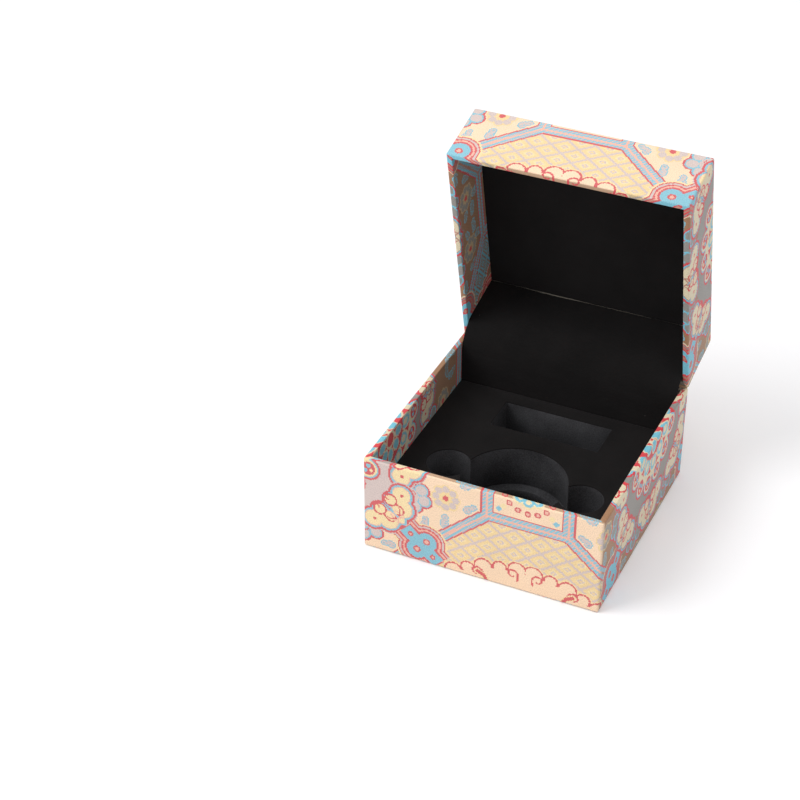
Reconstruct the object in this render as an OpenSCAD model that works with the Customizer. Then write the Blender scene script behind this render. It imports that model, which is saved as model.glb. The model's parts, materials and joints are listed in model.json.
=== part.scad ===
// Hinged keepsake box: a paperboard base and lid covered in brocade cloth,
// with a foam insert cut for a round piece and a long one, and a black velvet lining.
// Millimetres, +Z up, +X to the right, +Y to the back.
// The origin is the centre of the underside of the base.
// The lid is drawn shut, then swung open about the top back edge of the base.

/* [Box] */
// Outside width, left to right
box_w = 110; // [96:1:150]
// Outside depth, front to back
box_d = 109; // [104:1:150]
// Outside height of the shut box
box_h = 81; // [76:1:110]
// Height of the base, underside to rim
base_h = 48; // [44:1:60]
// Gap between the two rims when the box is shut
seam_gap = 0.3; // [0.2:0.1:0.8]
// Angle that the lid is swung back from shut
open_angle = 77; // [60:1:85]

/* [Boards and cloth] */
// Thickness of the paperboard
board_t = 2; // [1.5:0.1:3]
// Thickness of the brocade and its glue
brocade_t = 0.4; // [0.3:0.1:0.6]
// Thickness of the brocade where it is turned in and pressed
turn_in_t = 0.3; // [0.2:0.1:0.6]
// How far the brocade is turned in below the base rim
turn_in_depth = 26; // [22:1:34]
// How far the brocade is folded onto the underside and the top
fold_w = 12; // [6:1:20]
// Margin by which the top and bottom panels stop short of the edges
panel_inset = 0.6; // [0.2:0.1:2]
// Reach of the hinge cloth on each side of the hinge line
hinge_reach = 6; // [4:1:12]

/* [Lining] */
// Thickness of the velvet
velvet_t = 0.5; // [0.3:0.1:1]
// Thickness of the sponge pads behind the velvet at the back
pad_t = 5.5; // [3:0.5:8]
// How far the sponge pads stop short of the rims
pad_drop = 6; // [4:1:9]
// Thickness of the card under the lid's ceiling velvet
card_t = 1; // [0.5:0.1:2]
// Thickness of the black paper on the floor
paper_t = 0.3; // [0.2:0.1:0.5]

/* [Foam insert] */
// Drop from the base rim to the velvet on the foam
foam_drop = 21; // [17:1:25]
// Thickness of the lower foam layer, which makes the ledge in the well
ledge_t = 3.7; // [2:0.1:6]
// Diameter of the round well
well_d = 48; // [40:1:56]
// Diameter of the recess in the floor of the well
recess_d = 39; // [30:1:40]
// Diameter of each finger notch beside the well
notch_d = 20; // [14:1:24]
// Distance from the middle of the well to the middle of a finger notch
notch_x = 31.5; // [28:0.5:33]
// Distance from the front face of the box to the middle of the well
well_y = 38.5; // [36:0.5:42]
// Width of the long slot
slot_w = 52; // [30:1:70]
// Depth of the long slot, front to back
slot_d = 19.5; // [8:0.5:21]
// Distance from the back face of the box to the middle of the slot
slot_back = 25.8; // [24:0.2:27]

/* [Hidden] */
$fn = 96;
// Cut made past a face so that no skin is left
over = 1;
// Flats in the rounded inner side of the hinge cloth
bend_steps = 6;

// Faces of the boards and of the lining, as distances from the centre planes
board_x = box_w / 2 - brocade_t;
board_y = box_d / 2 - brocade_t;
inner_x = board_x - board_t;
inner_y = board_y - board_t;
clear_x = inner_x - turn_in_t;
clear_y = inner_y - turn_in_t;
pad_y = inner_y - pad_t;
velvet_y = pad_y - velvet_t;

// Heights in the base
fold_z = brocade_t;
floor_z = fold_z + brocade_t;
paper_z = floor_z + board_t;
ledge_z0 = paper_z + paper_t;
foam_z0 = ledge_z0 + ledge_t;
foam_z1 = base_h - foam_drop - velvet_t;
base_board_z = base_h - brocade_t;
base_pad_z = base_h - pad_drop;

// Heights in the shut lid
hinge_y = box_d / 2;
hinge_z = base_h + seam_gap / 2;
lid_z = base_h + seam_gap;
lid_board_z = lid_z + brocade_t;
lid_pad_z = 2 * hinge_z - base_pad_z;
lid_fold_z = box_h - 2 * brocade_t;
ceiling_z = lid_fold_z - board_t;
card_z = ceiling_z - card_t;

// The velvet across the hinge is one arc, tangent to the velvet on both pads
bridge_r = (hinge_z - base_pad_z + (hinge_y - velvet_y) * tan(open_angle / 2)) / tan(open_angle / 2);

brocade_colour = "#e6c49c";
board_colour = "#9c958a";
velvet_colour = "#161416";
foam_colour = "#3c3c3e";
sponge_colour = "#55534f";
paper_colour = "#1d1c1d";

// A block between two corners
module block(low, high) {
    translate(low) cube(high - low);
}

// Turns what is drawn shut about the hinge line
module swung_open() {
    translate([0, hinge_y, hinge_z]) rotate([-open_angle, 0, 0])
        translate([0, -hinge_y, -hinge_z]) children();
}

// A point of the side view, set back and up from the hinge line, turned back by an angle
function turned(back, up, angle) =
    [back * cos(angle) + up * sin(angle), up * cos(angle) - back * sin(angle)];

// A strip bent about a line along X: it leaves level to the front and turns up and back
module bent_strip(centre_y, centre_z, r_in, r_out, half_w) {
    translate([0, centre_y, centre_z]) rotate([90, 0, -90])
        rotate_extrude(angle = open_angle)
            translate([r_in, -half_w]) square([r_out - r_in, 2 * half_w]);
}

// Front and back boards run the full width, and the side boards stand between them
module cross_board(y_low, z_low, z_high) {
    color(board_colour)
        block([-board_x, y_low, z_low], [board_x, y_low + board_t, z_high]);
}

module side_board(x_low, z_low, z_high) {
    color(board_colour)
        block([x_low, -inner_y, z_low], [x_low + board_t, inner_y, z_high]);
}

module level_board(z_low) {
    color(board_colour)
        block([-inner_x, -inner_y, z_low], [inner_x, inner_y, z_low + board_t]);
}

// Brocade on the four outer walls, between two heights
module outer_cloth(z_low, z_high) {
    difference() {
        block([-box_w / 2, -box_d / 2, z_low], [box_w / 2, box_d / 2, z_high]);
        block([-board_x, -board_y, z_low - over], [board_x, board_y, z_high + over]);
    }
}

// The margin of brocade folded flat onto the underside or the top
module folded_margin(z_low) {
    difference() {
        block([-box_w / 2, -box_d / 2, z_low], [box_w / 2, box_d / 2, z_low + brocade_t]);
        block([fold_w - box_w / 2, fold_w - box_d / 2, z_low - over],
              [box_w / 2 - fold_w, box_d / 2 - fold_w, z_low + brocade_t + over]);
    }
}

// Brocade over the rims of the front and side walls, open at the back
module rim_cloth(z_low) {
    difference() {
        block([-box_w / 2, -box_d / 2, z_low], [box_w / 2, board_y, z_low + brocade_t]);
        block([-clear_x, -clear_y, z_low - over], [clear_x, box_d / 2, z_low + brocade_t + over]);
        block([-board_x, inner_y, z_low - over], [board_x, box_d / 2, z_low + brocade_t + over]);
    }
}

// Brocade turned in on the inner faces of the front and side walls
module turned_in(z_low, z_high) {
    difference() {
        block([-inner_x, -inner_y, z_low], [inner_x, inner_y, z_high]);
        block([-clear_x, -clear_y, z_low - over], [clear_x, inner_y + over, z_high + over]);
    }
}

// Space for the hinge cloth, which lies flush with the brocade on the back
module hinge_window(z_low, z_high) {
    block([-board_x, board_y - over / 2, z_low], [board_x, box_d / 2 + over, z_high]);
}

// The shapes cut through the velvet and the upper foam
module pockets(z_low, z_high) {
    translate([0, well_y - box_d / 2, z_low]) {
        cylinder(h = z_high - z_low, d = well_d);
        for (side = [-1, 1])
            translate([side * notch_x, 0, 0]) cylinder(h = z_high - z_low, d = notch_d);
    }
    slot_mid = box_d / 2 - slot_back;
    block([-slot_w / 2, slot_mid - slot_d / 2, z_low], [slot_w / 2, slot_mid + slot_d / 2, z_high]);
}

// A level sheet or slab that fills the inside up to a given back edge
module inner_slab(y_back, z_low, z_high) {
    block([-clear_x, -clear_y, z_low], [clear_x, y_back, z_high]);
}

// A sheet or pad that stands against the inside of the back wall
module back_slab(y_low, y_high, z_low, z_high) {
    block([-clear_x, y_low, z_low], [clear_x, y_high, z_high]);
}

module base_floor_board() {
    level_board(floor_z);
}

module base_front_board() {
    cross_board(-board_y, floor_z, base_board_z);
}

module base_back_board() {
    cross_board(inner_y, floor_z, base_board_z);
}

module base_left_board() {
    side_board(-board_x, floor_z, base_board_z);
}

module base_right_board() {
    side_board(inner_x, floor_z, base_board_z);
}

module base_brocade_wrap() {
    color(brocade_colour) {
        difference() {
            outer_cloth(fold_z, base_h);
            hinge_window(base_h - hinge_reach, base_h + over);
        }
        folded_margin(fold_z);
        rim_cloth(base_board_z);
        turned_in(base_h - turn_in_depth, base_board_z);
    }
}

module base_bottom_cloth() {
    color(brocade_colour)
        block([panel_inset - box_w / 2, panel_inset - box_d / 2, 0],
              [box_w / 2 - panel_inset, box_d / 2 - panel_inset, fold_z]);
}

module floor_paper() {
    color(paper_colour)
        block([-inner_x, -inner_y, paper_z], [inner_x, inner_y, ledge_z0]);
}

module foam_ledge() {
    color(foam_colour) difference() {
        inner_slab(inner_y, ledge_z0, foam_z0);
        translate([0, well_y - box_d / 2, ledge_z0 - over])
            cylinder(h = ledge_t + 2 * over, d = recess_d);
    }
}

module foam_insert() {
    color(foam_colour) difference() {
        inner_slab(inner_y, foam_z0, foam_z1);
        pockets(foam_z0 - over, foam_z1 + over);
    }
}

module foam_velvet() {
    color(velvet_colour) difference() {
        inner_slab(velvet_y, foam_z1, foam_z1 + velvet_t);
        pockets(foam_z1 - over, foam_z1 + velvet_t + over);
    }
}

module base_back_pad() {
    color(sponge_colour) back_slab(pad_y, inner_y, foam_z1, base_pad_z);
}

module base_back_velvet() {
    color(velvet_colour) back_slab(velvet_y, pad_y, foam_z1, base_pad_z);
}

module lid_top_board() {
    swung_open() level_board(ceiling_z);
}

module lid_front_board() {
    swung_open() cross_board(-board_y, lid_board_z, lid_fold_z);
}

module lid_back_board() {
    swung_open() cross_board(inner_y, lid_board_z, lid_fold_z);
}

module lid_left_board() {
    swung_open() side_board(-board_x, lid_board_z, lid_fold_z);
}

module lid_right_board() {
    swung_open() side_board(inner_x, lid_board_z, lid_fold_z);
}

module lid_brocade_wrap() {
    color(brocade_colour) swung_open() {
        difference() {
            outer_cloth(lid_z, box_h - brocade_t);
            hinge_window(lid_z - over, lid_z + hinge_reach);
        }
        folded_margin(lid_fold_z);
        rim_cloth(lid_z);
        turned_in(lid_board_z, ceiling_z);
    }
}

module lid_top_cloth() {
    color(brocade_colour) swung_open()
        block([panel_inset - box_w / 2, panel_inset - box_d / 2, box_h - brocade_t],
              [box_w / 2 - panel_inset, box_d / 2 - panel_inset, box_h]);
}

module ceiling_card() {
    color(board_colour) swung_open() inner_slab(inner_y, card_z, ceiling_z);
}

module ceiling_velvet() {
    color(velvet_colour) swung_open() inner_slab(velvet_y, card_z - velvet_t, card_z);
}

module lid_back_pad() {
    color(sponge_colour) swung_open() back_slab(pad_y, inner_y, lid_pad_z, card_z);
}

module lid_back_velvet() {
    color(velvet_colour) swung_open() back_slab(velvet_y, pad_y, lid_pad_z, card_z);
}

// The outer strip that the lid turns on: flat on both back walls, and rounded
// on its inner side where it bends at the hinge line
module hinge_cloth() {
    base_end = base_h - hinge_reach - hinge_z;
    lid_end = lid_z + hinge_reach - hinge_z;
    outline = concat(
        [[0, base_end], [0, 0], turned(0, lid_end, open_angle), turned(-brocade_t, lid_end, open_angle)],
        [for (i = [bend_steps:-1:0]) turned(-brocade_t, 0, open_angle * i / bend_steps)],
        [[-brocade_t, base_end]]
    );
    color(brocade_colour) translate([-board_x, hinge_y, hinge_z])
        rotate([90, 0, 90]) linear_extrude(2 * board_x) polygon(outline);
}

// The velvet that spans from the base pad to the lid pad over the open hinge
module hinge_velvet() {
    color(velvet_colour)
        bent_strip(velvet_y + bridge_r, base_pad_z, bridge_r - velvet_t, bridge_r, clear_x);
}

base_floor_board();
base_front_board();
base_back_board();
base_left_board();
base_right_board();
base_brocade_wrap();
base_bottom_cloth();
floor_paper();
foam_ledge();
foam_insert();
foam_velvet();
base_back_pad();
base_back_velvet();
lid_top_board();
lid_front_board();
lid_back_board();
lid_left_board();
lid_right_board();
lid_brocade_wrap();
lid_top_cloth();
ceiling_card();
ceiling_velvet();
lid_back_pad();
lid_back_velvet();
hinge_cloth();
hinge_velvet();
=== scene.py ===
# Hinged brocade keepsake box: the cloth, lining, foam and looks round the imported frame.
import json
from math import cos, pi, radians, sin, tan

import bmesh
import bpy
import numpy as np
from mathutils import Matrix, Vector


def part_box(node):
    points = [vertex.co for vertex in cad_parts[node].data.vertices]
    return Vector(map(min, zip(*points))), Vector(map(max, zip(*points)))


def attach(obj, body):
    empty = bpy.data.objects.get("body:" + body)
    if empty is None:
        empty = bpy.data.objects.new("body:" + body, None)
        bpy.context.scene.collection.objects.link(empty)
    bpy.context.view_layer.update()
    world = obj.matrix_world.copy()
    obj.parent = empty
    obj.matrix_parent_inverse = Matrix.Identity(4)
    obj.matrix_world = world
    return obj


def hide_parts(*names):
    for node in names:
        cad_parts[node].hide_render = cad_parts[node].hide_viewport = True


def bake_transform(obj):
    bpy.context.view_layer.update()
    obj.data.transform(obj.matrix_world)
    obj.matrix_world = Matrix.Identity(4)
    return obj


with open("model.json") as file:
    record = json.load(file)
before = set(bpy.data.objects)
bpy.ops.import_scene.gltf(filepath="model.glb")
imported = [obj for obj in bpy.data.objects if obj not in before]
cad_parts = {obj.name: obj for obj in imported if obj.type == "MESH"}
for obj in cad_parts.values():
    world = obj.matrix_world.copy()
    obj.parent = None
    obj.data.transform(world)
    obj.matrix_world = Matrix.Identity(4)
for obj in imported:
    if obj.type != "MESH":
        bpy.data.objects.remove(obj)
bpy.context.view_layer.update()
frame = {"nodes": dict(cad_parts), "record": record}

# Sizes in millimetres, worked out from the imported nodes
milli = 0.001


def nodeBox(name):
    low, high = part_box(name)
    return np.array(low) / milli, np.array(high) / milli


wrapLow, wrapHigh = nodeBox("base_brocade_wrap")
foamLow, foamHigh = nodeBox("foam_velvet")
padHigh = nodeBox("base_back_pad")[1]
hingeJoint = next(j for j in frame["record"]["behaviour"]["joints"] if j["name"] == "lid_hinge")
box = {
    "halfWide": wrapHigh[0],
    "halfDeep": -wrapLow[1],
    "baseHigh": wrapHigh[2],
    "shutHigh": 81.0,
    "seamGap": 0.3,
    "openAngle": hingeJoint["range_deg"][1],
    "cloth": 0.4,
    "turnIn": 0.3,
    "board": 2.0,
    "card": 1.0,
    "turnInDepth": 26.0,
    "foldWide": 12.0,
    "hingeReach": 6.0,
    "panelInset": 0.6,
}
hingeY = box["halfDeep"]
hingeZ = box["baseHigh"] + box["seamGap"] / 2
lidLow = box["baseHigh"] + box["seamGap"]


def swungOpen(points):
    # turns what is laid out shut about the hinge line to the open rest
    a = radians(-box["openAngle"])
    y, z = points[..., 1] - hingeY, points[..., 2] - hingeZ
    turned = points.copy()
    turned[..., 1] = hingeY + y * cos(a) - z * sin(a)
    turned[..., 2] = hingeZ + y * sin(a) + z * cos(a)
    return turned


def linear(hexColour):
    parts = [int(hexColour[i:i + 2], 16) / 255 for i in (1, 3, 5)]
    return [c / 12.92 if c <= 0.04045 else ((c + 0.055) / 1.055) ** 2.4 for c in parts] + [1.0]


def addNode(tree, kind, inputs=None, **settings):
    node = tree.nodes.new("ShaderNode" + kind)
    for key, value in settings.items():
        setattr(node, key, value)
    for socket, value in (inputs or {}).items():
        if isinstance(value, bpy.types.NodeSocket):
            tree.links.new(value, node.inputs[socket])
        else:
            node.inputs[socket].default_value = value
    return node


# Camera at the photograph's viewing angle
view = {"lens": 93.2, "sensor": 36.0, "place": (0.2596, -0.6963, 0.5788), "tilt": 55.0, "turn": 24.84}
cameraData = bpy.data.cameras.new("camera")
cameraData.lens = view["lens"]
cameraData.sensor_width = view["sensor"]
cameraObject = bpy.data.objects.new("camera", cameraData)
cameraObject.location = view["place"]
cameraObject.rotation_euler = (radians(view["tilt"]), 0, radians(view["turn"]))
bpy.context.scene.collection.objects.link(cameraObject)
bpy.context.scene.camera = cameraObject
bpy.context.scene.view_settings.view_transform = "Standard"
print("camera made")

# Pale floor and soft studio light
studio = {
    "floorSize": 6.0,
    "floorColour": "#f1f1f3",
    "floorLift": 0.16,
    "skyStrength": 0.62,
    "keyPower": 15.0,
    "keySize": 0.9,
    "keyPlace": (-0.95, -0.75, 1.35),
    "topPower": 5.0,
    "topSize": 1.4,
    "topPlace": (0.0, 0.1, 1.6),
    "aimHeight": 0.05,
}


def makeFloor():
    bpy.ops.mesh.primitive_plane_add(size=studio["floorSize"], location=(0, 0, 0))
    floor = bpy.context.object
    floor.name = "floor"
    material = bpy.data.materials.new("matt white paper floor")
    material.use_nodes = True
    tree = material.node_tree
    tree.nodes.clear()
    base = addNode(tree, "BsdfDiffuse", {"Color": linear(studio["floorColour"])})
    lift = addNode(tree, "Emission", {"Color": (1, 1, 1, 1), "Strength": studio["floorLift"]})
    rays = addNode(tree, "LightPath")
    black = addNode(tree, "Emission", {"Strength": 0.0})
    seen = addNode(tree, "MixShader", {0: rays.outputs["Is Camera Ray"], 1: black.outputs[0],
                                       2: lift.outputs[0]})
    both = addNode(tree, "AddShader", {0: base.outputs[0], 1: seen.outputs[0]})
    addNode(tree, "OutputMaterial", {"Surface": both.outputs[0]})
    floor.data.materials.append(material)


def makeWorld():
    world = bpy.data.worlds.new("white studio")
    world.use_nodes = True
    tree = world.node_tree
    tree.nodes.clear()
    rays = addNode(tree, "LightPath")
    either = addNode(tree, "Math", {0: rays.outputs["Is Camera Ray"], 1: rays.outputs["Is Glossy Ray"]},
                     operation="MAXIMUM")
    strength = addNode(tree, "MapRange", {"Value": either.outputs[0], "To Min": studio["skyStrength"],
                                          "To Max": 1.0})
    sky = addNode(tree, "Background", {"Color": (1, 1, 1, 1), "Strength": strength.outputs[0]})
    addNode(tree, "OutputWorld", {"Surface": sky.outputs[0]})
    bpy.context.scene.world = world


def makeLamp(name, power, size, place):
    lamp = bpy.data.lights.new(name, "AREA")
    lamp.energy = power
    lamp.size = size
    lampObject = bpy.data.objects.new(name, lamp)
    lampObject.location = place
    aim = -np.array(place) + np.array((0, 0, studio["aimHeight"]))
    flat = np.hypot(aim[0], aim[1])
    lampObject.rotation_euler = (np.arctan2(flat, -aim[2]), 0, np.arctan2(aim[1], aim[0]) - pi / 2)
    bpy.context.scene.collection.objects.link(lampObject)


makeFloor()
makeWorld()
makeLamp("key light", studio["keyPower"], studio["keySize"], studio["keyPlace"])
makeLamp("top light", studio["topPower"], studio["topSize"], studio["topPlace"])
print("floor and light made")

# Silk-look jacquard brocade: a satin ground with coloured wefts that lie on it in small steps.
# On the front the satin's sheen is painted in, so it looks peach; on the sides and top it keeps more of its
# own tan. Each yarn below has its own colour first, then a paler one with painted sheen. A painted-sheen
# level fixed on each face of the cloth mixes the two.
yarns = {
    "ground": ("#a67c5c", "#fbdcbc"),
    "red": ("#dc474e", "#d9686a"),
    "sky": ("#7cc6da", "#8fc6d6"),
    "cream": ("#e6d8b8", "#f7dfae"),
    "grey": ("#98948f", "#d8c6c0"),
    "gold": ("#cdb489", "#f3d6a0"),
    "blush": ("#c08a78", "#f3bba8"),
}
yarnNames = list(yarns)
brocadeLook = {
    "threadPitch": 0.5,
    "patchSize": 22.0,
    "roughness": 0.62,
    "sheen": 0.25,
    "bump": 0.25,
    "uneven": 0.16,
}


def surfaceOf(material, colour, bump=None, **settings):
    tree = material.node_tree
    inputs = {"Base Color": colour}
    if bump:
        inputs["Normal"] = bump
    inputs.update(settings)
    shader = addNode(tree, "BsdfPrincipled", inputs)
    addNode(tree, "OutputMaterial", {"Surface": shader.outputs[0]})
    return shader


def newMaterial(name):
    material = bpy.data.materials.new(name)
    material.use_nodes = True
    material.node_tree.nodes.clear()
    return material


def makeBrocade():
    material = newMaterial("jacquard brocade, satin ground, woven")
    tree = material.node_tree
    yarn = addNode(tree, "Attribute", attribute_name="yarn")
    paintedSheen = addNode(tree, "Attribute", attribute_name="paintedSheen")
    ramps = []
    # one ramp of the yarns' own colours and one of their colours with painted sheen, mixed by the
    # painted-sheen level kept on each face
    for which in (0, 1):
        ramp = addNode(tree, "ValToRGB", {"Fac": yarn.outputs["Fac"]})
        band = ramp.color_ramp
        band.interpolation = "CONSTANT"
        while len(band.elements) < len(yarns):
            band.elements.new(0.5)
        for i, name in enumerate(yarnNames):
            band.elements[i].position = i / len(yarns)
            band.elements[i].color = linear(yarns[name][which])
        ramps.append(ramp)
    cloth = addNode(tree, "Mix", {0: paintedSheen.outputs["Fac"], 6: ramps[0].outputs[0], 7: ramps[1].outputs[0]},
                    data_type="RGBA")
    place = addNode(tree, "UVMap", uv_map="cloth")
    # uv is in tenths of a metre, so a pitch in mm becomes 100 / pitch
    fine = addNode(tree, "TexNoise", {"Vector": place.outputs[0], "Scale": 100 / brocadeLook["threadPitch"],
                                      "Detail": 1.0, "Roughness": 0.6})
    broad = addNode(tree, "TexNoise", {"Vector": place.outputs[0], "Scale": 100 / brocadeLook["patchSize"],
                                       "Detail": 2.0})
    grain = addNode(tree, "MapRange", {"Value": fine.outputs[0], "From Min": 0.25, "From Max": 0.75,
                                       "To Min": 1 - brocadeLook["uneven"],
                                       "To Max": 1 + brocadeLook["uneven"]})
    drift = addNode(tree, "MapRange", {"Value": broad.outputs[0], "From Min": 0.3, "From Max": 0.7,
                                       "To Min": 0.96, "To Max": 1.03})
    shade = addNode(tree, "Math", {0: grain.outputs[0], 1: drift.outputs[0]}, operation="MULTIPLY")
    tinted = addNode(tree, "VectorMath", {0: cloth.outputs[2], "Scale": shade.outputs[0]}, operation="SCALE")
    # a wave texture runs about 6.3 bands to a unit, one for each thread
    twill = addNode(tree, "TexWave", {"Vector": place.outputs[0], "Distortion": 0.6, "Detail": 1.0,
                                      "Scale": 100 / brocadeLook["threadPitch"] / 6.3},
                    wave_type="BANDS", bands_direction="DIAGONAL")
    relief = addNode(tree, "Math", {0: twill.outputs["Fac"], 1: fine.outputs[0]}, operation="ADD")
    bump = addNode(tree, "Bump", {"Height": relief.outputs[0], "Strength": brocadeLook["bump"],
                                  "Distance": 0.0001})
    surfaceOf(material, tinted.outputs[0], bump.outputs[0], Roughness=brocadeLook["roughness"],
              **{"Sheen Weight": brocadeLook["sheen"], "Sheen Roughness": 0.4, "Specular IOR Level": 0.3})
    return material


patchMm = 18.0


def grainMaterial(name, dark, light, grainMm, roughness, bumpStrength, sheen=0.0, speck=None,
                  sheenTint="#ffffff"):
    # two shades mixed by a grain of the given size, with a bump from the same grain
    material = newMaterial(name)
    tree = material.node_tree
    place = addNode(tree, "TexCoord")
    fine = addNode(tree, "TexNoise", {"Vector": place.outputs["Object"], "Scale": 1000 / grainMm,
                                      "Detail": 3.0, "Roughness": 0.65})
    broad = addNode(tree, "TexNoise", {"Vector": place.outputs["Object"], "Scale": 1000 / patchMm,
                                       "Detail": 2.0})
    both = addNode(tree, "Math", {0: fine.outputs[0], 1: broad.outputs[0]}, operation="ADD")
    level = addNode(tree, "MapRange", {"Value": both.outputs[0], "From Min": 0.75, "From Max": 1.25})
    colour = addNode(tree, "Mix", {0: level.outputs[0], 6: linear(dark), 7: linear(light)},
                     data_type="RGBA").outputs[2]
    if speck:
        dots = addNode(tree, "TexVoronoi", {"Vector": place.outputs["Object"], "Randomness": 1.0,
                                            "Scale": 1000 / speck["every"]})
        spot = addNode(tree, "Math", {0: dots.outputs["Distance"], 1: speck["size"]}, operation="LESS_THAN")
        colour = addNode(tree, "Mix", {0: spot.outputs[0], 6: colour, 7: linear(speck["colour"])},
                         data_type="RGBA").outputs[2]
    bump = addNode(tree, "Bump", {"Height": fine.outputs[0], "Strength": bumpStrength, "Distance": 0.0003})
    surfaceOf(material, colour, bump.outputs[0], Roughness=roughness,
              **{"Sheen Weight": sheen, "Sheen Roughness": 0.5, "Sheen Tint": linear(sheenTint),
                 "Specular IOR Level": 0.2})
    return material


brocade = makeBrocade()
# Black flock velvet: very dark, with a soft sheen at grazing angles and a little pale lint
velvet = grainMaterial("black flock velvet", "#0a0909", "#151313", 0.35, 0.95, 0.35, 0.18,
                       {"every": 9.0, "size": 0.02, "colour": "#5c5756"}, "#8a8486")
# Charcoal EVA foam, cut: lighter than the velvet, with fine closed cells
foam = grainMaterial("charcoal EVA foam, cut", "#2a2a2c", "#4a4a4d", 0.6, 0.9, 0.6)
# Hidden in the box, and seen only where it is open at an edge: open-celled sponge, pulp board, paper
sponge = grainMaterial("grey polyurethane sponge", "#45433f", "#5f5c57", 1.2, 0.95, 0.7)
greyboard = grainMaterial("greyboard, pressed pulp", "#8b857b", "#a29b90", 0.8, 0.9, 0.3)
blackPaper = grainMaterial("black kraft paper", "#121112", "#1d1c1d", 0.5, 0.85, 0.25)
print("materials made")

# The woven design: flower medallions ringed by cloud heads, scroll medallions on lattices,
# banded octagons, square rosette panels and four-lobed knots, in millimetres of cloth.
# A quarter of the repeat is drawn, from a flower medallion to a scroll medallion, and folded.
ground, red, sky, cream, grey, gold, blush = range(len(yarns))
clothDesign = {
    "halfCell": (97.0, 90.0),  # from a flower medallion to the square panels beside and below it
    "panelHalf": 18.4,  # middle of the band round a square panel
    "bandHalf": 3.1,
    "bandEdge": 0.75,
    "bandCore": 0.55,
    "bandPast": 9.0,  # how far a band runs on past the edge of the quarter
    "thread": 0.5,
    "farAway": 1e3,
}


def folded(value, half):
    return half - np.abs(np.mod(value, 2 * half) - half)


def disc(x, y, cx, cy, r):
    return np.hypot(x - cx, y - cy) - r


def discs(x, y, rows):
    d = np.full(x.shape, clothDesign["farAway"])
    for cx, cy, r in rows:
        d = np.minimum(d, disc(x, y, cx, cy, r))
    return d


def stick(x, y, ax, ay, bx, by):
    dx, dy = bx - ax, by - ay
    t = np.clip(((x - ax) * dx + (y - ay) * dy) / (dx * dx + dy * dy), 0, 1)
    return np.hypot(x - ax - t * dx, y - ay - t * dy)


def turned(x, y, cx, cy, degrees):
    c, s = np.cos(np.radians(degrees)), np.sin(np.radians(degrees))
    return (x - cx) * c + (y - cy) * s, (y - cy) * c - (x - cx) * s


def spoke(x, y, count, ring):
    # folds the turn about the middle into one of count parts and puts its ring at the origin
    r = np.hypot(x, y)
    part = 2 * pi / count
    k = np.mod(np.arctan2(y, x) + part / 2, part) - part / 2
    return r * np.cos(k) - ring, r * np.sin(k)


def scroll(x, y, sx, sy, heading, length, turn, width, taper=0.5, bend=1.6, count=26):
    # distance to a stroke that curls more and more as it goes and gets thinner
    t = np.linspace(0, 1, count)
    a = np.radians(heading) + np.radians(turn) * t ** bend
    px = sx + np.concatenate([[0], np.cumsum(np.cos(a[:-1]))]) * length / (count - 1)
    py = sy + np.concatenate([[0], np.cumsum(np.sin(a[:-1]))]) * length / (count - 1)
    d = np.full(x.shape, clothDesign["farAway"])
    reach = width + 2.5
    near = (x > px.min() - reach) & (x < px.max() + reach) & (y > py.min() - reach) & (y < py.max() + reach)
    if near.any():
        nx, ny = x[near], y[near]
        best = np.full(nx.shape, clothDesign["farAway"])
        for i in range(count - 1):
            half = width / 2 * (1 - taper * t[i])
            best = np.minimum(best, stick(nx, ny, px[i], py[i], px[i + 1], py[i + 1]) - half)
        d[near] = best
    return d


def layEdges(lay, d, edges):
    for edge, yarn in edges:
        lay(d < edge, yarn)


# Cloud heads point away from the flower medallion. Rows are places aside of and back from the tip.
cloudHead = {
    "tips": ((51.6, 0, 0), (0, 51.8, 90), (42.2, 37.0, 39)),  # across, down and degrees
    "lobes": ((5.2, 8.2, 6.6), (10.6, 13.0, 6.0), (4.6, 13.4, 5.2)),
    "point": (0.85, 4.2, 0.75),
    "edges": ((0.9, grey), (0.35, red), (-0.75, sky), (-1.6, blush), (-2.0, cream)),
    "rootCurl": (4.0, 14.4, 2.9),
    "rootLine": 0.42,
    # aside, back, heading, length, turn, width and yarn
    "strokes": (
        (6.9, 14.4, 95, 8, 250, 0.9, red),
        (4.2, 11.6, -60, 9.5, -200, 0.95, red),
        (1.6, 9.4, -70, 5, -30, 0.9, blush),
        (1.0, 6.6, 20, 4.6, 60, 0.8, red),
    ),
    "eye": (10.4, 12.6, 0.8),
}


def layCloudHead(lay, p, q, tipP, tipQ, degrees):
    forward, aside = turned(p, q, tipP, tipQ, degrees)
    back, aside = -forward, np.abs(aside)
    slope, middle, flatten = cloudHead["point"]
    point = (aside * slope + np.abs(back - middle) - middle) * flatten
    layEdges(lay, np.minimum(discs(aside, back, cloudHead["lobes"]), point), cloudHead["edges"])
    root = disc(aside, back, *cloudHead["rootCurl"])
    lay(np.abs(root) < cloudHead["rootLine"], red)
    lay(root < -0.4, cream)
    for fromAside, fromBack, heading, length, turn, width, yarn in cloudHead["strokes"]:
        lay(scroll(aside, back, fromAside, fromBack, heading, length, turn, width) < 0, yarn)
    lay(disc(aside, back, *cloudHead["eye"]) < 0, red)


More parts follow.
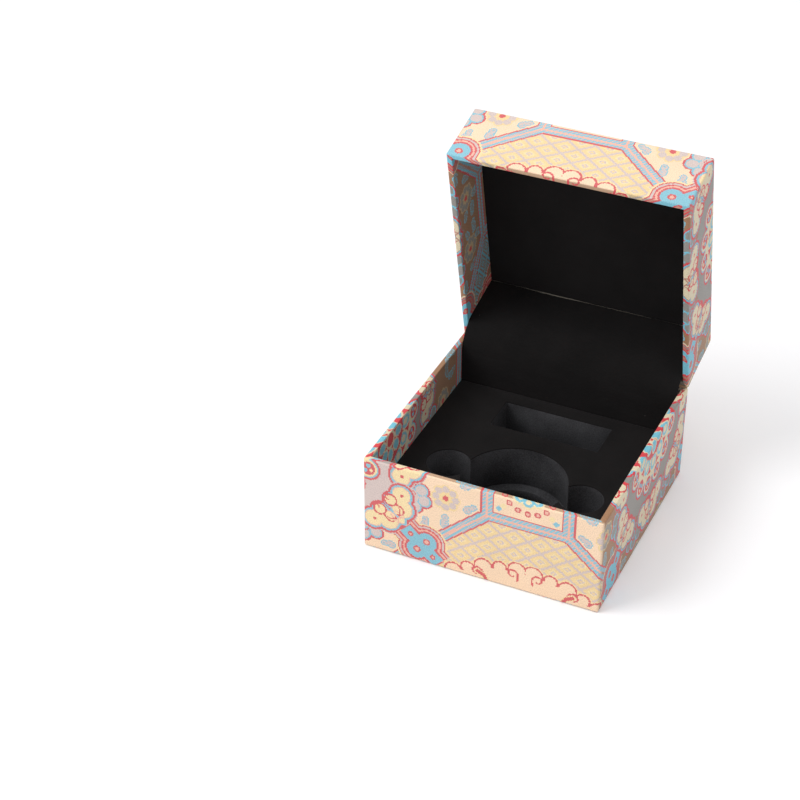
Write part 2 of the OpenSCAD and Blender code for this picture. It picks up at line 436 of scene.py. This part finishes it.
# Between the cloud heads and the bands: small clouds, florets and sprigs
flowerSide = {
    "greyRing": 38.5,
    "florets": ((59.5, 15.5), (15.2, 57.5)),
    "floretSize": 7.0,
    # start across and down, heading, length and hand
    "sprigs": (
        (70.5, 4.5, 100, 9, 1),
        (72, 17.5, 200, 8, -1),
        (60, 27, 150, 9, -1),
        (49.5, 30.5, 40, 8, 1),
        (64.5, 3.0, 190, 6, 1),
        (4.0, 62, 60, 9, -1),
        (14, 68, 185, 9, 1),
        (26, 60, 230, 8, 1),
        (31.5, 50, 300, 8, 1),
        (5, 55, 80, 6, -1),
    ),
    # share of the way along the stem, turned by, share of its length and curl
    "strokes": ((0, 0, 1.0, 300), (0.21, 60, 0.6, 320), (0.06, -70, 0.55, -300)),
    "strokeWidth": 1.5,
    # rows of discs and the middle of the curl in them
    "clouds": (
        (((48.2, 15, 3.6), (49.5, 20.3, 3.6), (45.4, 24.2, 3.4), (43, 19, 5)), (42.6, 18.6)),
        (((26.5, 45, 3.4), (20.5, 47, 3.8), (14.2, 46, 3.6), (19.5, 42, 5)), (20.5, 42.6)),
    ),
}


def layFloret(lay, p, q, size):
    x, y = spoke(p, q, 8, 0.66 * size)
    layEdges(lay, np.hypot(x, y) - 0.31 * size, ((0.25, gold), (-0.45, grey)))
    layEdges(lay, np.hypot(p, q), ((0.34 * size, gold), (0.2 * size, red)))


def laySprig(lay, p, q, startP, startQ, heading, length, hand):
    strokes = []
    for start, aside, share, curl in flowerSide["strokes"]:
        fromP = startP + np.cos(np.radians(heading)) * length * start
        fromQ = startQ + np.sin(np.radians(heading)) * length * start
        strokes.append(scroll(p, q, fromP, fromQ, heading + hand * aside, length * share, hand * curl,
                              flowerSide["strokeWidth"]))
    layEdges(lay, np.minimum.reduce(strokes), ((0.32, sky), (-0.12, grey)))


def layCloud(lay, p, q, rows, hook):
    layEdges(lay, discs(p, q, rows), ((0.5, red), (-0.35, sky), (-1.05, grey)))
    lay(np.abs(disc(p, q, *hook, 2.6)) < 0.4, red)
    lay(np.abs(disc(p, q, *hook, 1.8)) < 0.35, sky)


def layFlowerSide(lay, p, q):
    for cp, cq in flowerSide["florets"]:
        layFloret(lay, p - cp, q - cq, flowerSide["floretSize"])
    for sprig in flowerSide["sprigs"]:
        laySprig(lay, p, q, *sprig)
    lay(np.hypot(p, q) < flowerSide["greyRing"], grey)
    for rows, hook in flowerSide["clouds"]:
        layCloud(lay, p, q, rows, hook)
    for tip in cloudHead["tips"]:
        layCloudHead(lay, p, q, *tip)


flowerMedallion = {
    "scallops": {"count": 14, "ring": 25.2, "size": 5.6},
    "petals": {"count": 12, "ring": 16.5, "size": 4.1, "ground": 20.6},
    "heart": {"count": 8, "ring": 8.4, "size": 3.7, "ground": 13.4},
    "boss": ((4.6, cream), (3.4, red)),
}


def layFlower(lay, p, q):
    r = np.hypot(p, q)
    scallops = flowerMedallion["scallops"]
    x, y = spoke(p, q, scallops["count"], scallops["ring"])
    d = np.minimum(np.hypot(x, y) - scallops["size"], r - scallops["ring"])
    layEdges(lay, d, ((0.5, red), (-0.5, sky), (-1.1, cream)))
    lay((np.hypot(x - 0.2, y) < scallops["size"] - 2.2) & (r > scallops["ring"] - 4), red)
    lay(np.hypot(x + 0.4, np.abs(y) - 1.5) < 1.1, sky)
    lay(np.hypot(x - 1.9, y) < 0.9, cream)
    petals = flowerMedallion["petals"]
    x, y = spoke(p, q, petals["count"], petals["ring"])
    lay(r < petals["ground"], red)
    layEdges(lay, np.hypot(x * 0.8, y) - petals["size"], ((0, cream), (-0.9, sky), (-2.2, cream)))
    heart = flowerMedallion["heart"]
    x, y = spoke(p, q, heart["count"], heart["ring"])
    lay(r < heart["ground"], red)
    layEdges(lay, np.hypot(x, y * 1.25) - heart["size"], ((0, cream), (-0.8, sky)))
    layEdges(lay, r, flowerMedallion["boss"])


# Diamond lattices. A ring runs between two levels, from 0 in a diamond's middle to 1 on its lines.
lattices = {
    "gold": {
        "mesh": (12.2, 8.8),
        "rings": ((-1, 2, gold), (0.84, 2, grey), (-1, 0.46, cream), (-1, 0.3, grey), (-1, 0.14, gold)),
    },
    "sky": {
        "mesh": (13.9, 9.8),
        "rings": ((0.86, 2, sky), (0.46, 0.62, sky), (0.1, 0.26, sky)),
    },
}


def layLattice(lay, mask, acrossCloth, downCloth, kind):
    wide, tall = kind["mesh"]
    u = np.abs(np.mod(acrossCloth / wide + downCloth / tall, 1) - 0.5) * 2
    v = np.abs(np.mod(acrossCloth / wide - downCloth / tall, 1) - 0.5) * 2
    level = np.maximum(u, v)
    for low, high, yarn in kind["rings"]:
        lay(mask & (level > low) & (level < high), yarn)


scrollMedallion = {
    "halfWide": 53.5,
    "halfTall": 46.5,
    "lobes": 11,
    "firstLobe": 4.0,
    "lobeStep": 8.6,
    "lobeSizes": (4.6, 3.6),
    "edges": ((0.55, cream), (0, red), (-0.85, ground)),
    # start across and up, heading, length, turn and width
    "ribbons": (
        (3, 33, 10, 34, -75, 3.2),
        (36, 30, -20, 30, -150, 3.4),
        (46, 18, -110, 30, -40, 3.2),
        (10, 8, 20, 30, 130, 3.0),
        (34, 16, 200, 22, -240, 2.6),
        (6, 20, 60, 18, -220, 2.4),
        (22, 40, 200, 14, 260, 2.0),
        (44, 5, 150, 16, 200, 2.2),
    ),
    "ribbonEdges": ((0.5, cream), (0, red), (-1.15, ground)),
    "flowers": ((0, 5.5), (12, 3.0), (19, 2.2)),  # height and size
}


def layScrolls(lay, m, n):
    # m runs across and n up from the medallion's middle
    wide, tall = scrollMedallion["halfWide"], scrollMedallion["halfTall"]
    lobes = []
    for i in range(scrollMedallion["lobes"]):
        t = np.radians(scrollMedallion["firstLobe"] + scrollMedallion["lobeStep"] * i)
        lobes.append((wide * np.sin(t), tall * np.cos(t), scrollMedallion["lobeSizes"][i % 2]))
    body = (np.hypot(m / wide, n / tall) - 1) * 48
    layEdges(lay, np.minimum(discs(m, n, lobes), body), scrollMedallion["edges"])
    # a volute inside each large lobe
    for cm, cn, r in lobes[::2]:
        out = np.degrees(np.arctan2(cn, cm))
        lay(scroll(m, n, cm - 0.2, cn - 5.5, out + 20, 13, -330, 1.0, 0.3) < 0, red)
    for ribbon in scrollMedallion["ribbons"]:
        layEdges(lay, scroll(m, n, *ribbon), scrollMedallion["ribbonEdges"])
    # a column of blue flowers
    for height, size in scrollMedallion["flowers"]:
        x, y = spoke(m, n - height, 6, 0.6 * size)
        layEdges(lay, np.hypot(x, y) - 0.36 * size, ((0.5, red), (0, sky), (-1.0, cream)))
        lay(np.hypot(m, n - height) < 0.26 * size, red)


def layBands(lay, p, q, acrossCloth, downCloth):
    # bands round the squares and between the octagons
    halfP, halfQ = clothDesign["halfCell"]
    h, past = clothDesign["panelHalf"], clothDesign["bandPast"]
    runs = (
        (halfP - h, -past, halfP - h, h),
        (halfP - h, h, halfP + past, h),
        (-past, halfQ - h, h, halfQ - h),
        (h, halfQ - h, h, halfQ + past),
        (halfP - h, h, h, halfQ - h),
    )
    d = np.minimum.reduce([stick(p, q, *run) for run in runs])
    half = clothDesign["bandHalf"]
    rope = np.mod(np.floor((acrossCloth + downCloth) / clothDesign["thread"]), 4) < 1
    layEdges(lay, d, ((half, red), (half - clothDesign["bandEdge"], sky)))
    lay((d < half - clothDesign["bandEdge"]) & rope, blush)
    lay(d < clothDesign["bandCore"], blush)


rosette = {
    "beads": {"count": 16, "ring": 11.8, "size": 1.5},
    "petals": {"count": 8, "ring": 5.4, "size": 3.3},
    "cornerDiamond": (13, 1.6),
    "cornerDot": (10.9, 1.3),
}


def layRosette(lay, x, y):
    beads, petals = rosette["beads"], rosette["petals"]
    bx, by = spoke(x, y, beads["count"], beads["ring"])
    layEdges(lay, np.hypot(bx, by) - beads["size"], ((0, red), (-0.7, blush)))
    px, py = spoke(x, y, petals["count"], petals["ring"])
    layEdges(lay, np.hypot(px, py * 1.1) - petals["size"], ((0.5, cream), (-0.4, sky), (-1.9, cream)))
    layEdges(lay, np.hypot(x, y), ((3.2, blush), (2, red)))
    at, size = rosette["cornerDiamond"]
    lay(np.abs(x - at) + np.abs(y - at) < size, sky)
    at, size = rosette["cornerDot"]
    lay(np.hypot(x - at, y - at) < size, cream)


knot = {
    "degrees": 42,
    "lobes": ((0, 3.4, 4.5), (0, -3.4, 4.5)),
    "bar": (12.0, 3.0),
    "end": 11.5,
    "edges": ((5.3, cream), (4.5, red), (3.9, grey), (3.0, red), (2.2, blush), (1.3, red), (0.3, sky)),
    "eyes": ((0, 3.4, 1.75), (0, -3.4, 1.75), (7.2, 0, 1.35), (-7.2, 0, 1.35)),
}


def layKnot(lay, p, q, cp, cq):
    # s runs along the line that joins the two medallions
    s, t = turned(p, q, cp, cq, knot["degrees"])
    length, width = knot["bar"]
    bar = np.maximum(np.abs(t) - width, np.abs(s) - length)
    core = np.minimum(discs(s, t, knot["lobes"]), bar)
    for edge, yarn in knot["edges"]:
        lay((core < edge) & (np.abs(s) < knot["end"] - 0.25 * abs(edge - 3)), yarn)
    for eye in knot["eyes"]:
        layEdges(lay, disc(s, t, *eye), ((0, red), (-0.75, blush)))


def weave(acrossCloth, downCloth):
    # the yarn on top at each point of the cloth
    halfP, halfQ = clothDesign["halfCell"]
    h = clothDesign["panelHalf"]
    p, q = folded(acrossCloth, halfP), folded(downCloth, halfQ)
    yarn = np.full(p.shape, ground, int)

    def lay(mask, colour):
        yarn[mask] = colour

    def layWithin(region):
        return lambda mask, colour: lay(region & mask, colour)

    # the scroll medallion's side of the slanted band
    runP, runQ = halfP - 2 * h, halfQ - 2 * h
    inPanel = ((p > halfP - h) & (q < h)) | ((q > halfQ - h) & (p < h))
    inScrolls = ((p - (halfP - h)) * runQ + (q - h) * runP > 0) & ~inPanel
    onGold = inScrolls & (p / halfP > q / halfQ)
    layLattice(lay, onGold, acrossCloth, downCloth, lattices["gold"])
    layLattice(lay, inScrolls & ~onGold, acrossCloth, downCloth, lattices["sky"])
    layFlowerSide(lay, p, q)
    layFlower(lay, p, q)
    layScrolls(layWithin(inScrolls), halfP - p, halfQ - q)
    layBands(lay, p, q, acrossCloth, downCloth)
    for cp, cq in ((halfP, 0), (0, halfQ)):
        x, y = np.abs(p - cp), np.abs(q - cq)
        layRosette(layWithin(np.maximum(x, y) < h - clothDesign["bandHalf"]), x, y)
    layKnot(lay, p, q, halfP / 2, halfQ / 2)
    return yarn


# Mesh helpers
def gridQuads(ids):
    return np.stack([ids[:-1, :-1], ids[:-1, 1:], ids[1:, 1:], ids[1:, :-1]], -1).reshape(-1, 4)


def makeObject(name, points, faces, material, body=None):
    mesh = bpy.data.meshes.new(name)
    mesh.from_pydata(points.tolist(), [], faces)
    work = bmesh.new()
    work.from_mesh(mesh)
    bmesh.ops.recalc_face_normals(work, faces=work.faces)
    work.to_mesh(mesh)
    work.free()
    mesh.materials.append(material)
    mesh.shade_smooth()
    mesh.set_sharp_from_angle(angle=radians(45))
    piece = bpy.data.objects.new(name, mesh)
    bpy.context.scene.collection.objects.link(piece)
    if body:
        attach(piece, body)
    return piece


def shell(name, outer, inner, material, body=None):
    # a closed sheet between a fine outer grid and a coarse inner one with the same columns, in mm
    rows, cols = outer.shape[:2]
    few = inner.shape[0]
    points = np.concatenate([outer.reshape(-1, 3), inner.reshape(-1, 3)]) * milli
    out = np.arange(rows * cols).reshape(rows, cols)
    inn = rows * cols + np.arange(few * cols).reshape(few, cols)
    faces = gridQuads(out).tolist() + gridQuads(inn)[:, ::-1].tolist()
    faces += np.stack([out[0, 1:], out[0, :-1], inn[0, :-1], inn[0, 1:]], -1).tolist()
    faces += np.stack([out[-1, :-1], out[-1, 1:], inn[-1, 1:], inn[-1, :-1]], -1).tolist()
    faces.append(out[:, 0].tolist() + inn[::-1, 0].tolist())
    faces.append(out[::-1, -1].tolist() + inn[:, -1].tolist())
    return makeObject(name, points, faces, material, body)


def cellMiddles(values):
    return (values[:-1, :-1] + values[1:, :-1] + values[:-1, 1:] + values[1:, 1:]) / 4


def dressInBrocade(piece, across, down, paintedSheen, design):
    # works out the yarn on top in every small step of the weave and keeps it on the mesh
    offsetP, scaleP, offsetQ, scaleQ = design
    p = offsetP + cellMiddles(across) * scaleP
    q = offsetQ + cellMiddles(down) * scaleQ
    yarn = weave(p.ravel(), q.ravel())
    mesh = piece.data
    count = len(mesh.polygons)
    values = np.full(count, 0.5 / len(yarns), np.float32)
    values[:yarn.size] = (yarn + 0.5) / len(yarns)
    mesh.attributes.new("yarn", "FLOAT", "FACE").data.foreach_set("value", values)
    # the painted-sheen level of each face: 0.2 on the cut edges and inner face, and the given levels on the
    # woven face
    paintedSheenLevels = np.full(count, 0.2, np.float32)
    paintedSheenLevels[:yarn.size] = cellMiddles(paintedSheen).ravel()
    mesh.attributes.new("paintedSheen", "FLOAT", "FACE").data.foreach_set("value", paintedSheenLevels)
    flat = np.zeros((len(mesh.vertices), 2), np.float32)
    flat[:across.size, 0] = across.ravel() / 100
    flat[:across.size, 1] = down.ravel() / 100
    corners = np.empty(len(mesh.loops), np.int32)
    mesh.loops.foreach_get("vertex_index", corners)
    layer = mesh.uv_layers.new(name="cloth")
    layer.data.foreach_set("uv", flat[corners].ravel())
    return piece


def steps(low, high, size):
    return np.linspace(low, high, max(2, int(round(abs(high - low) / size)) + 1))


wrap = {"weaveStep": 0.53, "hiddenStep": 0.7, "cornerRadius": 0.9, "edgeRadius": 0.8, "waver": 0.12}


def ringPath(inset, backEnd):
    # the left, front and right walls seen from above, as one line with rounded corners
    x, y = box["halfWide"] - inset, box["halfDeep"] - inset
    r = max(wrap["cornerRadius"] - inset, 0.08)
    step = wrap["weaveStep"]
    sideSteps = int(round(2 * box["halfDeep"] / step))
    frontSteps = int(round(2 * box["halfWide"] / step))
    left = [(-x, v) for v in np.linspace(backEnd, -y + r, sideSteps)]
    cornerOne = [(-x + r - r * cos(a), -y + r - r * sin(a)) for a in np.radians((22.5, 45, 67.5))]
    front = [(v, -y) for v in np.linspace(-x + r, x - r, frontSteps)]
    cornerTwo = [(x - r + r * sin(a), -y + r - r * cos(a)) for a in np.radians((22.5, 45, 67.5))]
    right = [(x, v) for v in np.linspace(-y + r, backEnd, sideSteps)]
    return np.array(left + cornerOne + front + cornerTwo + right)


def wrapRows(profile):
    rows = []
    for inset, z in profile:
        back = hingeY if inset < 1 else hingeY - min(inset, 2.4)
        path = ringPath(inset, back)
        rows.append(np.column_stack([path, np.full(len(path), z)]))
    return np.array(rows)


def lengthAlong(points):
    return np.concatenate([[0], np.cumsum(np.hypot(*np.diff(points, axis=0).T))])


def fillet(insetFrom, zFrom, insetTo, zTo, firstAlong):
    # a quarter turn between two ends of a profile, in three steps
    turns = np.radians((22.5, 45, 67.5))
    if firstAlong == "inset":
        shares = [(sin(a), 1 - cos(a)) for a in turns]
    else:
        shares = [(1 - cos(a), sin(a)) for a in turns]
    return [(insetFrom + (insetTo - insetFrom) * i, zFrom + (zTo - zFrom) * z) for i, z in shares]


def wrapProfile(edgeZ, rimZ, deepZ):
    # from the folded margin, over the edge, along the wall, over the rim and down the inner face
    up = 1 if rimZ > edgeZ else -1
    r = wrap["edgeRadius"]
    wallIn = box["cloth"] + box["board"] + box["turnIn"]
    profile = [(box["foldWide"], edgeZ), (5.0, edgeZ), (r, edgeZ)]
    profile += fillet(r, edgeZ, 0, edgeZ + up * r, "inset")
    profile += [(0, z) for z in steps(edgeZ + up * r, rimZ - up * r, wrap["weaveStep"])]
    profile += fillet(0, rimZ - up * r, r, rimZ, "z")
    profile += [(i, rimZ) for i in steps(r, wallIn - r / 2, wrap["weaveStep"])]
    profile += fillet(wallIn - r / 2, rimZ, wallIn, rimZ - up * r / 2, "inset")
    profile += [(wallIn, z) for z in steps(rimZ - up * r / 2, deepZ, wrap["hiddenStep"])]
    inner = [(box["foldWide"], edgeZ + up * box["cloth"]), (box["cloth"], edgeZ + up * box["cloth"]),
             (box["cloth"], rimZ - up * box["cloth"]),
             (box["cloth"] + box["board"], rimZ - up * box["cloth"]),
             (box["cloth"] + box["board"], deepZ)]
    return np.array(profile), np.array(inner)


def makeWrap(name, node, body, edgeZ, rimZ, deepZ, design):
    profile, innerProfile = wrapProfile(edgeZ, rimZ, deepZ)
    outer, inner = wrapRows(profile), wrapRows(innerProfile)
    path = ringPath(0, hingeY)
    # the wall's corner at the left of the front is where the cloth's measures start
    across = lengthAlong(path) - 2 * box["halfDeep"]
    along = lengthAlong(profile)
    onWall = profile[:, 0] < 0.01
    if body == "lid":
        down = along - along[onWall][0]
    else:
        down = along[onWall][-1] - along
    acrossGrid, downGrid = np.meshgrid(across, down)
    # painted sheen: full on the front wall and none on the side walls, blended round the corners; the rim
    # and the inner turn-in rows get only 0.3 of it
    onFront = np.clip((1.0 - np.maximum(-across, across - 2 * box["halfWide"])) / 1.5, 0, 1)
    rowPaintedSheen = np.where(profile[:, 0] < 0.5, 1.0, 0.3)
    paintedSheen = rowPaintedSheen[:, None] * onFront[None, :]
    # board edges are never dead straight, so the cloth wavers a little
    ripple = np.sin(acrossGrid / 7.3) * np.sin(downGrid / 5.1 + 1) + np.sin(acrossGrid / 17 + 2)
    waver = wrap["waver"] * ripple / 2
    away = np.zeros_like(outer)
    onSide = np.abs(outer[..., 0]) > box["halfWide"] - 1
    away[..., 0] = np.clip(outer[..., 0] / box["halfWide"], -1, 1) * onSide
    away[..., 1] = -(outer[..., 1] < -box["halfDeep"] + 1).astype(float)
    outer = outer - away * (np.abs(waver) * onWall[:, None])[..., None]
    if body == "lid":
        outer, inner = swungOpen(outer), swungOpen(inner)
    piece = shell(name, outer, inner, brocade, body)
    dressInBrocade(piece, acrossGrid, downGrid, paintedSheen, design)
    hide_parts(node)
    return piece


# How the design lies on each cloth: offset and scale across, then offset and scale down.
# The cloth is pulled a little more on one panel than on another, so the scales differ.
clothLay = {
    "base": (21.0, 1.0, 7.0, 1.0),
    "lid": (97 - 52.5 * (97 / 101), 97 / 101, 14.8, 90 / 91.6),
    "top": (3 * 97 / 110, 97 / 110, 19 * 90 / 94, 90 / 94),
    "baseBack": (240.0, 1.0, 13.0, 1.0),
    "lidBack": (150.0, 1.0, 15.0, 1.0),
    "under": (40.0, 1.0, 30.0, 1.0),
    "hinge": (60.0, 1.0, 40.0, 1.0),
}
foldZ = box["cloth"]
ceilingZ = box["shutHigh"] - 2 * box["cloth"] - box["board"]
makeWrap("base_wrap_cloth", "base_brocade_wrap", "base", foldZ, box["baseHigh"],
         box["baseHigh"] - box["turnInDepth"], clothLay["base"])
makeWrap("lid_wrap_cloth", "lid_brocade_wrap", "lid", box["shutHigh"] - box["cloth"], lidLow, ceilingZ,
         clothLay["lid"])
print("wraps woven")


def makePanel(name, node, body, origin, directions, size, design, paintedSheenLevel, step, swap=False,
              clear=0.0):
    # a flat panel of cloth with rounded edges; origin is the corner of its outer face, and the
    # directions run across it, down it and out of it. It stops short of the fold below by clear.
    acrossDir, downDir, outDir = (np.array(direction) for direction in directions)
    edge = 0.3
    wide, tall = size[0], size[1] - clear
    xs = np.concatenate([[0, edge * 0.3], steps(edge, wide - edge, step), [wide - edge * 0.3, wide]])
    ys = np.concatenate([[0, edge * 0.3], steps(edge, tall - edge, step), [tall - edge * 0.3, tall]])
    acrossGrid, downGrid = np.meshgrid(xs, ys)
    rim = np.minimum(np.minimum(acrossGrid, wide - acrossGrid), np.minimum(downGrid, tall - downGrid))
    drop = edge * (1 - np.sqrt(np.clip(1 - (1 - np.clip(rim / edge, 0, 1)) ** 2, 0, 1)))
    flat = np.array(origin) + acrossGrid[..., None] * acrossDir + downGrid[..., None] * downDir
    face = flat - drop[..., None] * outDir
    back = flat[[0, -1]] - box["cloth"] * outDir
    if body == "lid":
        face, back = swungOpen(face), swungOpen(back)
    piece = shell(name, face, back, brocade, body)
    # one painted-sheen level over the whole panel
    paintedSheen = np.full_like(acrossGrid, paintedSheenLevel)
    if swap:
        dressInBrocade(piece, downGrid, acrossGrid, paintedSheen, design)
    else:
        dressInBrocade(piece, acrossGrid, downGrid, paintedSheen, design)
    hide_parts(node)


backTop = box["baseHigh"] - box["hingeReach"]
clothIn = box["cloth"]
backWide = 2 * (box["halfWide"] - clothIn)
lidBackTall = box["shutHigh"] - clothIn - (lidLow + box["hingeReach"])
inset = box["panelInset"]
panelSize = (2 * (box["halfWide"] - inset), 2 * (box["halfDeep"] - inset))
onBack = ((-1, 0, 0), (0, 0, -1), (0, 1, 0))
onTop = ((1, 0, 0), (0, -1, 0), (0, 0, 1))
underneath = ((1, 0, 0), (0, 1, 0), (0, 0, -1))
# The number after each cloth lay is that panel's painted-sheen level: most on the back walls, less on the
# top and bottom.
makePanel("base_back_cloth", "base_brocade_wrap", "base",
          (box["halfWide"] - clothIn, hingeY, backTop), onBack, (backWide, backTop - foldZ),
          clothLay["baseBack"], 0.85, 0.6, clear=0.02)
makePanel("lid_back_cloth", "lid_brocade_wrap", "lid",
          (box["halfWide"] - clothIn, hingeY, box["shutHigh"] - clothIn), onBack, (backWide, lidBackTall),
          clothLay["lidBack"], 0.85, 0.6)
makePanel("lid_top_panel_cloth", "lid_top_cloth", "lid",
          (-box["halfWide"] + inset, hingeY - inset, box["shutHigh"]), onTop, panelSize,
          clothLay["top"], 0.4, wrap["weaveStep"], True)
makePanel("base_bottom_panel_cloth", "base_bottom_cloth", "base",
          (-box["halfWide"] + inset, -hingeY + inset, 0), underneath, panelSize,
          clothLay["under"], 0.3, 0.75)
print("panels woven")


def makeHingeCloth():
    # flat on both back walls, and bent at the hinge line
    reach = box["hingeReach"]
    a = radians(box["openAngle"])
    v = np.concatenate([steps(backTop - hingeZ, -0.6, 0.6), [-0.3, 0, 0.3],
                        steps(0.6, lidLow + reach - hingeZ, 0.6)])
    x = steps(-backWide / 2, backWide / 2, 0.55)
    outer = np.zeros((len(v), len(x), 3))
    inner = np.zeros_like(outer)
    outer[..., 0] = inner[..., 0] = x[None, :]
    for i, d in enumerate(v):
        turn = a if d > 0 else a / 2 if d == 0 else 0.0
        outY, outZ = hingeY + d * sin(turn), hingeZ + d * cos(turn)
        outer[i, :, 1:] = (outY, outZ)
        inner[i, :, 1:] = (outY - clothIn * cos(turn), outZ + clothIn * sin(turn))
    piece = shell("hinge_strip_cloth", outer, inner, brocade)
    across, down = np.meshgrid(x, -v)
    # the hinge strip's cloth gets a painted-sheen level of 0.8
    dressInBrocade(piece, across, down, np.full_like(across, 0.8), clothLay["hinge"])
    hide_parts("hinge_cloth")
    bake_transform(piece)


makeHingeCloth()

lining = {
    "thick": 0.5,
    "wave": 0.35,
    "step": 1.4,
    "slabStep": 1.8,
    "shoulder": 6.0,
    "padCrown": 0.4,
    "ceilingCrown": 0.3,
    "ceilingSetBack": 0.5,
}
clearX = foamHigh[0]
velvetY = foamHigh[1]
padZ = padHigh[2]
shutPadZ = 2 * hingeZ - padZ
cardZ = ceilingZ - box["card"]
ceilingVelvetZ = cardZ - lining["thick"]
# the velvet bridges the hinge in one arc that meets both linings
halfTurn = tan(radians(box["openAngle"] / 2))
bridgeRadius = (hingeZ - padZ + (hingeY - velvetY) * halfTurn) / halfTurn


def makeBackLining():
    # one strip of velvet, from the foam up the base's pad, across the hinge and along the lid's pad
    a = radians(box["openAngle"])
    low = [(velvetY, z, 0.0, -1.0) for z in steps(foamHigh[2] + 0.02, padZ, lining["step"])]
    arc = []
    for turn in np.linspace(0, a, 18)[1:-1]:
        arc.append((velvetY + bridgeRadius * (1 - cos(turn)), padZ + bridgeRadius * sin(turn), turn, 0.0))
    shut = np.array([(0, velvetY, z) for z in steps(shutPadZ, ceilingVelvetZ - 0.1, lining["step"])])
    high = [(y, z, a, 1.0) for _, y, z in swungOpen(shut)]
    rows = low + arc + high
    x = steps(-clearX + 0.05, clearX - 0.05, lining["step"])
    outer = np.zeros((len(rows), len(x), 3))
    inner = np.zeros_like(outer)
    for i, (y, z, turn, side) in enumerate(rows):
        ripple = np.sin(x / 13 + i * 0.35) * np.sin(i * 0.21 + 1) + 0.5 * np.sin(x / 6.1 + i * 0.9)
        wave = lining["wave"] * ripple
        wave = wave - 0.8 * lining["wave"] * (1 - side * side)
        wave = wave * np.clip((clearX - np.abs(x)) / 6, 0, 1) * min(1.0, i / 4)
        outer[i, :, 0] = inner[i, :, 0] = x
        normal = np.array((-cos(turn), sin(turn)))
        outer[i, :, 1] = y + normal[0] * wave
        outer[i, :, 2] = z + normal[1] * wave
        inner[i, :, 1] = y - normal[0] * lining["thick"]
        inner[i, :, 2] = z - normal[1] * lining["thick"]
    piece = shell("back_lining_velvet", outer, inner, velvet)
    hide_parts("base_back_velvet", "hinge_velvet", "lid_back_velvet")
    end = swungOpen(np.array([[0.0, velvetY, shutPadZ]]))[0]
    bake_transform(piece)


def slab(name, low, high, crown, material, body, axis, facing):
    # a slab whose face on one side swells a little and rounds off at its edges
    keep = [k for k in range(3) if k != axis]
    a, b = np.meshgrid(*(steps(low[k], high[k], lining["slabStep"]) for k in keep))
    edge = np.minimum(np.minimum(a - a.min(), a.max() - a), np.minimum(b - b.min(), b.max() - b))
    lift = crown * (np.clip(edge / lining["shoulder"], 0, 1) ** 0.5 - 1)
    outer = np.zeros(a.shape + (3,))
    outer[..., keep[0]], outer[..., keep[1]] = a, b
    face, back = (high[axis], low[axis]) if facing > 0 else (low[axis], high[axis])
    outer[..., axis] = face + facing * lift
    inner = outer[[0, -1]].copy()
    inner[..., axis] = back
    if body == "lid":
        outer, inner = swungOpen(outer), swungOpen(inner)
    return shell(name, outer, inner, material, body)


makeBackLining()
padY = velvetY + lining["thick"] + 0.02
boardY = hingeY - box["cloth"] - box["board"]
padFloorZ = foamHigh[2] - lining["thick"]
basePad = slab("base_back_pad_sponge", (-clearX, padY, padFloorZ), (clearX, boardY, padZ),
               lining["padCrown"], sponge, "base", 1, -1)
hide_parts("base_back_pad")
lidPad = slab("lid_back_pad_sponge", (-clearX, padY, shutPadZ), (clearX, boardY, cardZ),
              lining["padCrown"], sponge, "lid", 1, -1)
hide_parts("lid_back_pad")
ceilingFrontY = lining["ceilingSetBack"] - clearX
ceiling = slab("ceiling_velvet_sheet", (-clearX, ceilingFrontY, ceilingVelvetZ), (clearX, velvetY, cardZ),
               lining["ceilingCrown"], velvet, "lid", 2, -1)
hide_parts("ceiling_velvet")
print("lining made")


def cutCopy(node, name, rounding, material):
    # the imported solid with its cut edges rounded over, as die-cut foam and velvet are
    mesh = frame["nodes"][node].data.copy()
    mesh.name = name
    work = bmesh.new()
    work.from_mesh(mesh)
    bmesh.ops.remove_doubles(work, verts=work.verts, dist=1e-6)
    bmesh.ops.dissolve_limit(work, angle_limit=radians(1), verts=work.verts, edges=work.edges)
    sharp = [e for e in work.edges if len(e.link_faces) == 2 and e.calc_face_angle(0) > radians(50)]
    bmesh.ops.bevel(work, geom=sharp, offset=rounding, segments=2, profile=0.5, affect="EDGES")
    bmesh.ops.triangulate(work, faces=work.faces)
    work.to_mesh(mesh)
    work.free()
    mesh.materials.clear()
    mesh.materials.append(material)
    mesh.shade_smooth()
    mesh.set_sharp_from_angle(angle=radians(40))
    piece = bpy.data.objects.new(name, mesh)
    bpy.context.scene.collection.objects.link(piece)
    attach(piece, "base")
    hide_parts(node)
    return piece


cutting = {"foamEdge": 0.0003, "velvetEdge": 0.00015, "velvetAreaShare": 0.66}
for node in ("foam_insert", "foam_ledge"):
    block = cutCopy(node, node + "_cut", cutting["foamEdge"], foam)
topVelvet = cutCopy("foam_velvet", "foam_velvet_sheet", cutting["velvetEdge"], velvet)

paperFinishes = {"floor_paper": blackPaper, "ceiling_card": greyboard}
for name, part in frame["nodes"].items():
    finish = greyboard if name.endswith("_board") else paperFinishes.get(name)
    if finish:
        for place in part.material_slots:
            place.material = finish
print("foam and boards finished")
